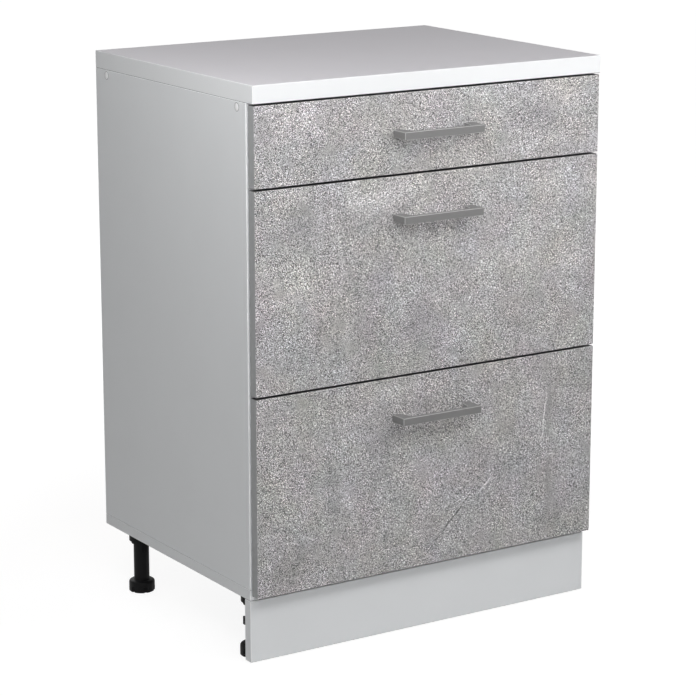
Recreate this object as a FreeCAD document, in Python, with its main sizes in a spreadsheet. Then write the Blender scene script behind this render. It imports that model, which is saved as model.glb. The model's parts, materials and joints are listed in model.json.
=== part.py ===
"""Base cabinet with three drawers: a 600 mm kitchen unit on adjustable legs.

The cabinet stands on z = 0, faces -Y and is centred on x = 0 and y = 0, all in millimetres.
Two sides stand on a full-width bottom panel and are tied by two top rails under the worktop.
Each drawer has steel sides that roll on channel runners. Drawer pieces are drawn at the
height of their own runner and then lifted to the level of their front.
"""

import FreeCAD, Part
import os
import re

import Sketcher

# ---------------------------------------------------------------- driving dimensions

SIZES = {
    # carcass
    "cabinet_width": 600,
    "carcass_depth": 440,
    "board_thickness": 16,
    "board_edge_radius": 1,
    "worktop_thickness": 26,
    "worktop_edge_radius": 1,
    "rail_width": 80,
    "back_thickness": 3,
    "back_inset": 16,
    "back_groove_depth": 8,
    "back_groove_play": 0.1,
    # fronts
    "front_thickness": 16,
    "front_standoff": 2,
    "front_side_reveal": 2,
    "front_gap": 3,
    "worktop_to_front_gap": 2.5,
    "bottom_panel_cover": 8.5,
    "front_edge_radius": 1,
    "top_front_height": 115,
    "middle_front_height": 292,
    "bottom_front_height": 293,
    # handles
    "handle_height": 11.2,
    "handle_reach": 30,
    "handle_bar_thickness": 8,
    "handle_leg_width": 14,
    "handle_leg_flare": 4,
    "handle_inner_radius": 5,
    "handle_edge_radius": 0.5,
    "handle_screw_spacing": 128,
    "handle_screw_edge": 5,
    "top_handle_drop": 57,
    "deep_handle_drop": 59.5,
    # legs and plinth
    "leg_height": 96,
    "leg_side_inset": 27,
    "leg_front_inset": 36.5,
    "leg_back_inset": 64,
    "socket_radius": 18.5,
    "socket_height": 14,
    "socket_roof": 2,
    "collar_radius": 15.2,
    "collar_height": 4.5,
    "latch_width": 5,
    "latch_length": 12,
    "flange_thickness": 3,
    "flange_inward_reach": 32,
    "flange_rear_reach": 36,
    "flange_screw_edge": 6,
    "tube_radius": 12,
    "tube_play": 0.15,
    "foot_radius": 20,
    "foot_height": 20,
    "foot_shoulder_radius": 4,
    "foot_notches": 6,
    "foot_notch_radius": 2.4,
    "foot_notch_height": 9,
    "stem_radius": 8.5,
    "stem_length": 50,
    "stem_play": 0.3,
    "foot_seat_gap": 0.3,
    "plinth_thickness": 16,
    "plinth_proud": 0.5,
    "plinth_floor_gap": 3,
    "plinth_panel_gap": 0.5,
    "plinth_edge_radius": 1,
    "clip_above_floor": 53,
    "clip_height": 12.3,
    "clip_wall": 2.1,
    "clip_play": 0.3,
    "clip_arm_reach": 6,
    "clip_plate_half_width": 24,
    "clip_plate_thickness": 3,
    # runners and drawer sides
    "runner_length": 400,
    "runner_setback": 3,
    "runner_height": 22,
    "runner_reach": 11,
    "runner_lift": 30,
    "steel": 1.2,
    "cabinet_roller_radius": 10.5,
    "cabinet_roller_setback": 24,
    "roller_lift": 2,
    "roller_width": 6.7,
    "roller_play": 0.3,
    "roller_bore_play": 0.1,
    "pin_radius": 2.5,
    "pin_collar_radius": 4,
    "rear_roller_setback": 18,
    "drawer_travel": 300,
    "stop_reach": 5,
    "stop_height": 6,
    "side_clearance": 12.5,
    "drawer_depth": 400,
    "shallow_side_height": 54,
    "deep_side_height": 86,
    "side_drop": 2,
    "base_flange": 16,
    "tab_width": 18,
    "top_hem": 3,
    "base_play": 0.3,
    "deep_back_height": 140,
    "rod_radius": 5,
    "rod_rosette_radius": 9,
    "rod_rosette_thickness": 4,
    "rod_lift": 125,
    "rod_inset": 14,
    # fasteners
    "screw_play": 0.1,
    "carcass_screw_radius": 2.5,
    "carcass_screw_length": 50,
    "carcass_head_radius": 4.75,
    "carcass_head_height": 3,
    "cap_radius": 6.2,
    "cap_thickness": 1.2,
    "cap_peg_radius": 1.5,
    "cap_peg_length": 2,
    "front_cap_inset": 24,
    "back_cap_inset": 34.5,
    "dowel_radius": 4,
    "dowel_length": 30,
    "dowel_depth": 10,
    "dowel_offset": 32,
    "bottom_screw_front_inset": 96,
    "bottom_screw_back_inset": 124,
    "worktop_screw_inset": 100,
    "wood_screw_radius": 1.75,
    "wood_screw_length": 14,
    "wood_head_radius": 3.5,
    "wood_head_height": 1.6,
    "handle_screw_radius": 2,
    "handle_screw_grip": 10,
    "handle_head_radius": 4,
    "handle_head_height": 2.5,
}

# ---------------------------------------------------------------- derived places

PLACES = {
    # across the cabinet: distances from the middle plane
    "half_width": "cabinet_width / 2",
    "inner_half": "half_width - board_thickness",
    # front to back: the worktop and the fronts share one front plane, the handles stand out of it
    "front_build": "front_thickness + front_standoff",
    "worktop_depth": "carcass_depth + front_build",
    "front_plane": "(handle_reach - worktop_depth) / 2",
    "front_rear": "front_plane + front_thickness",
    "carcass_front": "front_plane + front_build",
    "carcass_back": "carcass_front + carcass_depth",
    "back_rear": "carcass_back - back_inset",
    "back_front": "back_rear - back_thickness",
    # heights: the stack of fronts sets how high the sides are
    "bottom_top": "leg_height + board_thickness",
    "bottom_front_bottom": "bottom_top - bottom_panel_cover",
    "middle_front_bottom": "bottom_front_bottom + bottom_front_height + front_gap",
    "top_front_bottom": "middle_front_bottom + middle_front_height + front_gap",
    "side_top": "top_front_bottom + top_front_height + worktop_to_front_gap",
    "rail_bottom": "side_top - board_thickness",
    "rail_middle": "side_top - board_thickness / 2",
    "worktop_top": "side_top + worktop_thickness",
    # legs
    "leg_x": "half_width - leg_side_inset",
    "leg_front_y": "carcass_front + leg_front_inset",
    "leg_back_y": "carcass_back - leg_back_inset",
    "socket_bottom": "leg_height - socket_height",
    "collar_bottom": "socket_bottom - collar_height",
    "tube_top": "leg_height - socket_roof",
    "flange_bottom": "leg_height - flange_thickness",
    "flange_near_screw": "socket_radius - flange_screw_edge",
    "flange_inward_screw": "flange_inward_reach - flange_screw_edge",
    "flange_rear_screw": "flange_rear_reach - flange_screw_edge",
    # plinth and its clips
    "plinth_front": "carcass_front - plinth_proud",
    "plinth_back": "plinth_front + plinth_thickness",
    "plinth_top": "leg_height - plinth_panel_gap",
    "clip_slot": "tube_radius + clip_play",
    "clip_bottom": "clip_above_floor - clip_height / 2",
    "clip_top": "clip_above_floor + clip_height / 2",
    "clip_screw_x": "(clip_slot + clip_wall + clip_plate_half_width) / 2",
    # screw and dowel rows
    "front_cap_y": "carcass_front + front_cap_inset",
    "back_cap_y": "carcass_back - back_cap_inset",
    "bottom_screw_front_y": "carcass_front + bottom_screw_front_inset",
    "bottom_screw_back_y": "carcass_back - bottom_screw_back_inset",
    "side_middle": "half_width - board_thickness / 2",
    "front_rail_back": "carcass_front + rail_width",
    "back_rail_front": "back_front - rail_width",
    "front_rail_y": "carcass_front + rail_width / 2",
    "back_rail_y": "back_front - rail_width / 2",
    "worktop_screw_x": "half_width - worktop_screw_inset",
    "screw_hole": "wood_screw_radius + screw_play",
    # runners: distances from the inner face of a side panel, heights from the runner's lower edge
    "runner_front": "carcass_front + runner_setback",
    "runner_back": "runner_front + runner_length",
    "channel_floor": "steel",
    "channel_roof": "runner_height - steel",
    "cabinet_roller_y": "runner_front + cabinet_roller_setback",
    "cabinet_roller_z": "runner_height + roller_lift - cabinet_roller_radius",
    "roller_near": "steel + wood_head_height + 1.5 * roller_play",
    "roller_far": "roller_near + roller_width",
    "pin_head_far": "roller_far + roller_play + steel / 2",
    "rear_roller_y": "runner_back - rear_roller_setback",
    "rear_roller_z": "runner_height / 2",
    "rear_roller_radius": "runner_height / 2 - steel - roller_play",
    "open_stop_y": "rear_roller_y - drawer_travel - rear_roller_radius - roller_play",
    "closed_stop_y": "rear_roller_y + rear_roller_radius + roller_play",
    # drawer box, measured like the runners
    "web_near": "side_clearance",
    "web_far": "side_clearance + steel",
    "track_bottom": "runner_height + roller_lift + roller_play",
    "track_top": "track_bottom + steel",
    "base_bottom": "side_drop + steel",
    "base_top": "base_bottom + board_thickness",
    "board_far": "web_far + base_play",
    "board_half": "inner_half - board_far",
    "drawer_back": "front_rear + drawer_depth",
    "back_board_rear": "drawer_back - steel",
    "back_board_front": "back_board_rear - board_thickness",
    "tab_bottom": "base_top + base_play",
    "tab_screw_t": "web_far + tab_width / 2",
    "base_screw_t": "web_far + base_flange / 2",
    "base_screw_inset": "drawer_depth / 8",
    "rod_t": "board_far + rod_inset",
    "rod_z": "side_drop + rod_lift",
    "handle_screw_x": "handle_screw_spacing / 2",
}

document = FreeCAD.newDocument("base_cabinet")
sheet = document.addObject("Spreadsheet::Sheet", "Sizes")
for row, (alias, size) in enumerate(SIZES.items(), start=1):
    sheet.set(f"A{row}", alias)
    sheet.set(f"B{row}", str(size))
    sheet.setAlias(f"B{row}", alias)
document.recompute()


def formula(text):
    """Write a formula of named sizes and places as an expression on the sheet's cells."""

    def expand(match):
        word = match.group()
        if word in PLACES:
            return f"({formula(PLACES[word])})"
        return f"Sizes.{word}" if word in SIZES else word

    return re.sub(r"[A-Za-z_]\w*", expand, str(text))


def number(text):
    """The present value of a formula."""
    return float(sheet.evalExpression(formula(text)))


# ---------------------------------------------------------------- sketches and features

NODES = []


def new_body(label, x="0", y="0", z="0"):
    """A piece of its own, drawn about its own origin and then placed."""
    body = document.addObject("PartDesign::Body", label)
    body.Label = label
    for axis, text in zip("xyz", (x, y, z)):
        body.setExpression(f"Placement.Base.{axis}", formula(text))
    NODES.append(body)
    return body


def new_sketch(body, plane, level):
    """A sketch on one of the body's own planes, moved along +X, +Y or +Z to a level."""
    sketch = body.newObject("Sketcher::SketchObject", f"{body.Name}_sketch")
    origin_plane = next(item for item in body.Origin.OriginFeatures if item.Role == f"{plane}_Plane")
    sketch.AttachmentSupport = [(origin_plane, "")]
    sketch.MapMode = "FlatFace"
    sign = "-1" if plane == "XZ" else "1"
    sketch.setExpression("AttachmentOffset.Base.z", f"{sign} * ({formula(level)})")
    return sketch


def pin_point(sketch, geometry, point, across, up):
    """Fix one point of the drawing at two formulas."""
    for kind, text in (("DistanceX", across), ("DistanceY", up)):
        rule = sketch.addConstraint(Sketcher.Constraint(kind, -1, 1, geometry, point, number(text)))
        sketch.setExpression(f"Constraints[{rule}]", formula(text))


def circle(across, up, radius):
    """A circle, for a drawing."""

    def draw(sketch):
        centre = FreeCAD.Vector(number(across), number(up), 0)
        index = sketch.addGeometry(Part.Circle(centre, FreeCAD.Vector(0, 0, 1), number(radius)))
        pin_point(sketch, index, 3, across, up)
        rule = sketch.addConstraint(Sketcher.Constraint("Radius", index, number(radius)))
        sketch.setExpression(f"Constraints[{rule}]", formula(radius))

    return draw


def outline(*corners):
    """A closed outline of straight lines through the given corners, for a drawing."""

    def draw(sketch):
        points = [FreeCAD.Vector(number(across), number(up), 0) for across, up in corners]
        first = sketch.GeometryCount
        for start, end in zip(points, points[1:] + points[:1]):
            sketch.addGeometry(Part.LineSegment(start, end))
        for index, (across, up) in enumerate(corners):
            following = first + (index + 1) % len(corners)
            sketch.addConstraint(Sketcher.Constraint("Coincident", first + index, 2, following, 1))
            pin_point(sketch, first + index, 1, across, up)

    return draw


def rectangle(left, right, low, high):
    """A rectangle between two levels each way, for a drawing."""
    return outline((left, low), (right, low), (right, high), (left, high))


def add_feature(body, kind, plane, level, length, drawings):
    sketch = new_sketch(body, plane, level)
    for draw in drawings:
        draw(sketch)
    feature = body.newObject(kind, f"{body.Name}_{kind.split('::')[1].lower()}")
    feature.Profile = sketch
    feature.setExpression("Length", formula(length))
    document.recompute()
    return feature


def pad(body, plane, low, high, *drawings):
    """Add material between two levels along the axis that the drawing's plane faces."""
    level = high if plane == "XZ" else low
    return add_feature(body, "PartDesign::Pad", plane, level, f"({high}) - ({low})", drawings)


def pocket(body, plane, low, high, *drawings):
    """Cut material away between two levels along the axis that the drawing's plane faces."""
    before = body.Shape.Volume
    level = low if plane == "XZ" else high
    feature = add_feature(body, "PartDesign::Pocket", plane, level, f"({high}) - ({low})", drawings)
    if feature.Shape.Volume > before - 1e-6:
        raise RuntimeError(f"{feature.Name} cuts nothing")
    return feature


def round_edges(body, radius, chosen):
    """Round the edges of the last feature for which chosen(edge) is true."""
    base = body.Tip
    names = [f"Edge{index}" for index, edge in enumerate(base.Shape.Edges, start=1) if chosen(edge)]
    fillet = body.newObject("PartDesign::Fillet", f"{body.Name}_fillet")
    fillet.Base = (base, names)
    fillet.setExpression("Radius", formula(radius))
    document.recompute()


def minus(text):
    return f"-({text})"


def both_sides(text):
    """The same distance left and right of the middle plane."""
    return (minus(text), text)


def from_side(side, text):
    """A distance inwards from the inner face of the left or right side panel, as an x."""
    return f"{'-1' if side == 'left' else '1'} * (inner_half - ({text}))"


def grid(columns, rows):
    return [(column, row) for column in columns for row in rows]


def circles(spots, radius):
    return [circle(across, up, radius) for across, up in spots]


# ---------------------------------------------------------------- where the fasteners go

LEG_SPOTS = grid(both_sides("leg_x"), ("leg_front_y", "leg_back_y"))
CAP_SPOTS = [("front_cap_y", "rail_middle"), ("back_cap_y", "rail_middle")]
RAIL_DOWEL_SPOTS = [
    ("front_cap_y + dowel_offset", "rail_middle"),
    ("back_cap_y - dowel_offset", "rail_middle"),
]
BOTTOM_SCREW_SPOTS = grid(both_sides("side_middle"), ("bottom_screw_front_y", "bottom_screw_back_y"))
BOTTOM_DOWEL_SPOTS = grid(
    both_sides("side_middle"),
    ("bottom_screw_front_y + dowel_offset", "bottom_screw_back_y - dowel_offset"),
)
WORKTOP_SCREW_SPOTS = grid(both_sides("worktop_screw_x"), ("front_rail_y", "back_rail_y"))


def flange_screw_spots():
    """Three screws at each leg, in the corners of its flange that lie clear of the cup."""
    spots = []
    for leg_x, leg_y in LEG_SPOTS:
        inward = "1" if leg_x.startswith("-") else "-1"
        for across, along in (
            ("flange_inward_screw", "-flange_near_screw"),
            ("flange_inward_screw", "flange_rear_screw"),
            ("-flange_near_screw", "flange_rear_screw"),
        ):
            spots.append((f"{leg_x} + {inward} * ({across})", f"{leg_y} + ({along})"))
    return spots


RUNNER_SCREW_PLACES = [f"runner_front + runner_length * {share}" for share in (0.13, 0.46, 0.87)]

DRAWERS = {
    "top": {
        "front_bottom": "top_front_bottom",
        "front_height": "top_front_height",
        "handle_drop": "top_handle_drop",
        "side_height": "shallow_side_height",
        "back_top": "side_drop + shallow_side_height",
        "has_rods": False,
    },
    "middle": {
        "front_bottom": "middle_front_bottom",
        "front_height": "middle_front_height",
        "handle_drop": "deep_handle_drop",
        "side_height": "deep_side_height",
        "back_top": "base_top + deep_back_height",
        "has_rods": True,
    },
    "bottom": {
        "front_bottom": "bottom_front_bottom",
        "front_height": "bottom_front_height",
        "handle_drop": "deep_handle_drop",
        "side_height": "deep_side_height",
        "back_top": "base_top + deep_back_height",
        "has_rods": True,
    },
}


def runner_level(drawer):
    """The height of a drawer's runners above the floor."""
    return f"{drawer['front_bottom']} + runner_lift"


# ---------------------------------------------------------------- carcass boards


def make_worktop():
    """The worktop covers the carcass and the fronts, with its upper and lower edges eased."""
    body = new_body("worktop")
    pad(body, "XY", "side_top", "worktop_top",
        rectangle("-half_width", "half_width", "front_plane", "carcass_back"))
    round_edges(body, "worktop_edge_radius", lambda edge: True)
    pocket(body, "XY", "side_top", "side_top + wood_screw_length + screw_play",
           *circles(WORKTOP_SCREW_SPOTS, "screw_hole"))


def make_side_panel(side):
    """A side stands on the bottom panel. Its inner face is grooved for the back panel."""
    label = f"side_panel_{side}"
    sign = "-1" if side == "left" else "1"
    outer, inner = f"{sign} * half_width", f"{sign} * inner_half"
    low, high = (outer, inner) if side == "left" else (inner, outer)
    head_bottom = f"{sign} * (half_width - carcass_head_height - screw_play)"
    head = (outer, head_bottom) if side == "left" else (head_bottom, outer)
    dowel_end = f"{sign} * (inner_half + dowel_depth + screw_play)"
    dowel = (dowel_end, inner) if side == "left" else (inner, dowel_end)
    screw_end = f"{sign} * (inner_half + wood_screw_length - steel)"
    screw = (screw_end, inner) if side == "left" else (inner, screw_end)
    groove_end = f"{sign} * (inner_half + back_groove_depth)"
    groove = (groove_end, inner) if side == "left" else (inner, groove_end)

    body = new_body(label)
    pad(body, "YZ", low, high, rectangle("carcass_front", "carcass_back", "bottom_top", "side_top"))
    round_edges(body, "board_edge_radius", lambda edge: True)
    pocket(body, "YZ", *groove, rectangle("back_front - back_groove_play", "back_rear + back_groove_play",
                                          "bottom_top", "side_top"))
    pocket(body, "YZ", low, high, *circles(CAP_SPOTS, "carcass_screw_radius + screw_play"))
    pocket(body, "YZ", *head, *circles(CAP_SPOTS, "carcass_head_radius + screw_play"))
    pocket(body, "YZ", *dowel, *circles(RAIL_DOWEL_SPOTS, "dowel_radius + screw_play"))
    runner_spots = [(along, f"{runner_level(drawer)} + runner_height / 2")
                    for drawer in DRAWERS.values() for along in RUNNER_SCREW_PLACES]
    pocket(body, "YZ", *screw, *circles(runner_spots, "screw_hole"))
    own_side = [spot for spot in BOTTOM_SCREW_SPOTS if spot[0].startswith("-") == (side == "left")]
    pocket(body, "XY", "bottom_top", "leg_height + carcass_screw_length + screw_play",
           *circles(own_side, "carcass_screw_radius + screw_play"))
    own_side = [spot for spot in BOTTOM_DOWEL_SPOTS if spot[0].startswith("-") == (side == "left")]
    pocket(body, "XY", "bottom_top", "bottom_top + dowel_length - dowel_depth + screw_play",
           *circles(own_side, "dowel_radius + screw_play"))


def make_bottom_panel():
    """The bottom panel carries both sides and is grooved for the back panel."""
    body = new_body("bottom_panel")
    pad(body, "XY", "leg_height", "bottom_top",
        rectangle("-half_width", "half_width", "carcass_front", "carcass_back"))
    round_edges(body, "board_edge_radius", lambda edge: True)
    groove_end = "inner_half + back_groove_depth"
    pocket(body, "XY", "bottom_top - back_groove_depth", "bottom_top",
           rectangle(minus(groove_end), groove_end,
                     "back_front - back_groove_play", "back_rear + back_groove_play"))
    pocket(body, "XY", "leg_height", "bottom_top",
           *circles(BOTTOM_SCREW_SPOTS, "carcass_screw_radius + screw_play"))
    pocket(body, "XY", "leg_height", "leg_height + carcass_head_height + screw_play",
           *circles(BOTTOM_SCREW_SPOTS, "carcass_head_radius + screw_play"))
    pocket(body, "XY", "bottom_top - dowel_depth - screw_play", "bottom_top",
           *circles(BOTTOM_DOWEL_SPOTS, "dowel_radius + screw_play"))
    pocket(body, "XY", "leg_height", "flange_bottom + wood_screw_length + screw_play",
           *circles(flange_screw_spots(), "screw_hole"))


def make_top_rail(place, front, back, cap_y, dowel_y, screw_y):
    """A flat rail between the sides, drilled at its ends and for the worktop's screws."""
    body = new_body(f"top_rail_{place}")
    pad(body, "XY", "rail_bottom", "side_top", rectangle("-inner_half", "inner_half", front, back))
    round_edges(body, "board_edge_radius", lambda edge: edge.BoundBox.XLength > 1)
    for side, sign in (("left", "-1"), ("right", "1")):
        face = f"{sign} * inner_half"
        screw_end = f"{sign} * (half_width - carcass_screw_length - screw_play)"
        dowel_end = f"{sign} * (inner_half - dowel_length + dowel_depth - screw_play)"
        screw = (face, screw_end) if side == "left" else (screw_end, face)
        dowel = (face, dowel_end) if side == "left" else (dowel_end, face)
        pocket(body, "YZ", *screw, circle(cap_y, "rail_middle", "carcass_screw_radius + screw_play"))
        pocket(body, "YZ", *dowel, circle(dowel_y, "rail_middle", "dowel_radius + screw_play"))
    spots = [(across, screw_y) for across in both_sides("worktop_screw_x")]
    pocket(body, "XY", "rail_bottom", "side_top", *circles(spots, "screw_hole"))


def make_back_panel():
    """A thin hardboard back, slid into the grooves from above."""
    body = new_body("back_panel")
    edge = "inner_half + back_groove_depth - back_groove_play"
    pad(body, "XZ", "back_front", "back_rear",
        rectangle(minus(edge), edge, "bottom_top - back_groove_depth + back_groove_play", "side_top"))


# ---------------------------------------------------------------- carcass fasteners


def make_cover_caps():
    """Domed caps that hide the screw heads on the sides, each with a peg in the head's socket."""
    body = new_body("screw_cover_caps")
    face = "half_width + cap_thickness"
    peg = "half_width - cap_peg_length"
    for low, high in ((minus(face), "-half_width"), ("half_width", face)):
        pad(body, "YZ", low, high, *circles(CAP_SPOTS, "cap_radius"))
    outer_face = number(face)
    round_edges(body, "cap_thickness * 0.8",
                lambda edge: edge.BoundBox.XLength < 1e-6
                and abs(abs(edge.BoundBox.XMin) - outer_face) < 1e-3)
    for low, high in (("-half_width", minus(peg)), (peg, "half_width")):
        pad(body, "YZ", low, high, *circles(CAP_SPOTS, "cap_peg_radius"))


def make_carcass_screws():
    """Coarse-thread screws: through the sides into the rails, and up into the sides."""
    body = new_body("carcass_screws")
    tip = "half_width - carcass_screw_length"
    head = "half_width - carcass_head_height"
    for low, high in (("-half_width", minus(tip)), (tip, "half_width")):
        pad(body, "YZ", low, high, *circles(CAP_SPOTS, "carcass_screw_radius"))
    for low, high in (("-half_width", minus(head)), (head, "half_width")):
        pad(body, "YZ", low, high, *circles(CAP_SPOTS, "carcass_head_radius"))
    socket = "half_width - cap_peg_length - screw_play"
    for low, high in (("-half_width", minus(socket)), (socket, "half_width")):
        pocket(body, "YZ", low, high, *circles(CAP_SPOTS, "cap_peg_radius + screw_play"))
    pad(body, "XY", "leg_height", "leg_height + carcass_screw_length",
        *circles(BOTTOM_SCREW_SPOTS, "carcass_screw_radius"))
    pad(body, "XY", "leg_height", "leg_height + carcass_head_height",
        *circles(BOTTOM_SCREW_SPOTS, "carcass_head_radius"))


def make_wood_dowels():
    """Beech dowels between rails and sides, and between the bottom panel and the sides."""
    body = new_body("wood_dowels")
    outer, inner = "inner_half + dowel_depth", "inner_half + dowel_depth - dowel_length"
    for low, high in ((minus(outer), minus(inner)), (inner, outer)):
        pad(body, "YZ", low, high, *circles(RAIL_DOWEL_SPOTS, "dowel_radius"))
    low = "bottom_top - dowel_depth"
    pad(body, "XY", low, f"{low} + dowel_length", *circles(BOTTOM_DOWEL_SPOTS, "dowel_radius"))


def make_worktop_screws():
    """Screws up through the rails into the worktop."""
    body = new_body("worktop_screws")
    pad(body, "XY", "rail_bottom", "side_top + wood_screw_length",
        *circles(WORKTOP_SCREW_SPOTS, "wood_screw_radius"))
    pad(body, "XY", "rail_bottom - wood_head_height", "rail_bottom",
        *circles(WORKTOP_SCREW_SPOTS, "wood_head_radius"))


# ---------------------------------------------------------------- legs


def make_leg_sockets():
    """Sockets under the bottom panel: a screwed flange, a cup, a collar and a snap tongue."""
    body = new_body("leg_sockets")
    flanges = []
    for leg_x, leg_y in LEG_SPOTS:
        inward = "1" if leg_x.startswith("-") else "-1"
        outer = f"{leg_x} - {inward} * socket_radius"
        inner = f"{leg_x} + {inward} * flange_inward_reach"
        left, right = (outer, inner) if inward == "1" else (inner, outer)
        flanges.append(rectangle(left, right, f"{leg_y} - socket_radius", f"{leg_y} + flange_rear_reach"))
    pad(body, "XY", "flange_bottom", "leg_height", *flanges)
    pad(body, "XY", "socket_bottom", "flange_bottom", *circles(LEG_SPOTS, "socket_radius"))
    pad(body, "XY", "collar_bottom", "socket_bottom", *circles(LEG_SPOTS, "collar_radius"))
    tongue_back = "tube_radius + tube_play"
    tongues = [rectangle(f"{leg_x} - latch_width / 2", f"{leg_x} + latch_width / 2",
                         f"{leg_y} - collar_radius", f"{leg_y} - {tongue_back}")
               for leg_x, leg_y in LEG_SPOTS]
    pad(body, "XY", "collar_bottom - latch_length", "collar_bottom", *tongues)
    pocket(body, "XY", "collar_bottom - latch_length", "tube_top",
           *circles(LEG_SPOTS, "tube_radius + tube_play"))
    pocket(body, "XY", "flange_bottom", "leg_height", *circles(flange_screw_spots(), "screw_hole"))


def make_leg_tubes():
    """Leg tubes, plugged into the sockets and bored for the stems of the feet."""
    body = new_body("leg_tubes")
    low = "foot_height + foot_seat_gap"
    pad(body, "XY", low, "tube_top", *circles(LEG_SPOTS, "tube_radius"))
    pocket(body, "XY", low, "tube_top", *circles(LEG_SPOTS, "stem_radius + stem_play"))


def make_socket_screws():
    """Three screws hold each socket's flange to the bottom panel."""
    body = new_body("leg_socket_screws")
    spots = flange_screw_spots()
    pad(body, "XY", "flange_bottom", "flange_bottom + wood_screw_length",
        *circles(spots, "wood_screw_radius"))
    pad(body, "XY", "flange_bottom - wood_head_height", "flange_bottom",
        *circles(spots, "wood_head_radius"))


def make_foot(label, leg_x, leg_y):
    """A notched foot disc with its stem, screwed all the way into the leg tube."""
    body = new_body(label, leg_x, leg_y)
    pad(body, "XY", "0", "foot_height", circle("0", "0", "foot_radius"))
    top = number("foot_height")
    round_edges(body, "foot_shoulder_radius", lambda edge: edge.BoundBox.ZMin > top - 1e-3)
    notch = pocket(body, "XY", "0", "foot_notch_height", circle("foot_radius", "0", "foot_notch_radius"))
    pattern = body.newObject("PartDesign::PolarPattern", f"{body.Name}_notches")
    pattern.Originals = [notch]
    z_axis = next(item for item in body.Origin.OriginFeatures if item.Role == "Z_Axis")
    pattern.Axis = (z_axis, [""])
    pattern.Angle = 360
    pattern.setExpression("Occurrences", formula("foot_notches"))
    body.Tip = pattern
    pad(body, "XY", "foot_height", "foot_height + stem_length", circle("0", "0", "stem_radius"))


# ---------------------------------------------------------------- plinth


def make_plinth():
    """The plinth panel hangs on two clips that hold the tubes of the front legs."""
    body = new_body("plinth_panel")
    pad(body, "XZ", "plinth_front", "plinth_back",
        rectangle("-half_width", "half_width", "plinth_floor_gap", "plinth_top"))
    round_edges(body, "plinth_edge_radius", lambda edge: True)
    spots = clip_screw_spots()
    pocket(body, "XZ", "plinth_back - wood_screw_length + clip_plate_thickness - screw_play", "plinth_back",
           *circles(spots, "screw_hole"))

    body = new_body("plinth_clips")
    plate_back = "plinth_back + clip_plate_thickness"
    plates, arms, slots, bores = [], [], [], []
    for leg_x in both_sides("leg_x"):
        plates.append(rectangle(f"{leg_x} - clip_plate_half_width", f"{leg_x} + clip_plate_half_width",
                                "plinth_back", plate_back))
        arms.append(rectangle(f"{leg_x} - clip_slot - clip_wall", f"{leg_x} + clip_slot + clip_wall",
                              plate_back, "leg_front_y + clip_arm_reach"))
        slots.append(rectangle(f"{leg_x} - clip_slot", f"{leg_x} + clip_slot",
                               "leg_front_y", "leg_front_y + clip_arm_reach"))
        bores.append(circle(leg_x, "leg_front_y", "clip_slot"))
    pad(body, "XY", "clip_bottom", "clip_top", *plates)
    pad(body, "XY", "clip_bottom", "clip_top", *arms)
    pocket(body, "XY", "clip_bottom", "clip_top", *slots)
    pocket(body, "XY", "clip_bottom", "clip_top", *bores)
    pocket(body, "XZ", "plinth_back", plate_back, *circles(spots, "screw_hole"))

    body = new_body("plinth_clip_screws")
    pad(body, "XZ", f"{plate_back} - wood_screw_length", plate_back, *circles(spots, "wood_screw_radius"))
    pad(body, "XZ", plate_back, f"{plate_back} + wood_head_height", *circles(spots, "wood_head_radius"))


def clip_screw_spots():
    return [(f"{leg_x} + ({offset})", "clip_above_floor")
            for leg_x in both_sides("leg_x") for offset in both_sides("clip_screw_x")]


# ---------------------------------------------------------------- runners and rollers


def side_span(side, near, far):
    """Two distances from a side panel's inner face, in order of growing x."""
    span = (from_side(side, near), from_side(side, far))
    return span if side == "left" else span[::-1]


def make_runner(side, level_name, drawer):
    """A steel channel with a cut-out and a riveted pin for the roller, and two end stops."""
    body = new_body(f"runner_{side}_{level_name}", z=runner_level(drawer))

    def across(text):
        return from_side(side, text)

    section = outline(
        (across("0"), "0"),
        (across("runner_reach"), "0"),
        (across("runner_reach"), "channel_floor"),
        (across("steel"), "channel_floor"),
        (across("steel"), "channel_roof"),
        (across("runner_reach"), "channel_roof"),
        (across("runner_reach"), "runner_height"),
        (across("0"), "runner_height"),
    )
    pad(body, "XZ", "runner_front", "runner_back", section)
    cut_back = "cabinet_roller_y + cabinet_roller_radius + 2 * pin_radius"
    pocket(body, "XY", "channel_roof", "runner_height",
           rectangle(*side_span(side, "steel", "runner_reach"), "runner_front", cut_back))
    stops = [
        rectangle("open_stop_y - 2 * steel", "open_stop_y",
                  "rear_roller_z - stop_height / 2", "rear_roller_z + stop_height / 2"),
        rectangle("closed_stop_y", "closed_stop_y + 2 * steel",
                  "rear_roller_z - stop_height / 2", "rear_roller_z + stop_height / 2"),
    ]
    pad(body, "YZ", *side_span(side, "steel", "steel + stop_reach"), *stops)
    for near, far, radius in (
        ("steel", "roller_near - roller_play", "pin_collar_radius"),
        ("roller_near - roller_play", "roller_far + roller_play", "pin_radius"),
        ("roller_far + roller_play", "pin_head_far", "pin_collar_radius"),
    ):
        pad(body, "YZ", *side_span(side, near, far), circle("cabinet_roller_y", "cabinet_roller_z", radius))
    holes = [(along, "runner_height / 2") for along in RUNNER_SCREW_PLACES]
    pocket(body, "YZ", *side_span(side, "0", "steel"), *circles(holes, "screw_hole"))


def make_runner_screws():
    """Flat-headed screws hold each runner to its side panel."""
    body = new_body("runner_screws")
    spots = [(along, f"{runner_level(drawer)} + runner_height / 2")
             for drawer in DRAWERS.values() for along in RUNNER_SCREW_PLACES]
    for side in ("left", "right"):
        pad(body, "YZ", *side_span(side, "steel - wood_screw_length", "steel"),
            *circles(spots, "wood_screw_radius"))
        pad(body, "YZ", *side_span(side, "steel", "steel + wood_head_height"),
            *circles(spots, "wood_head_radius"))


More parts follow.
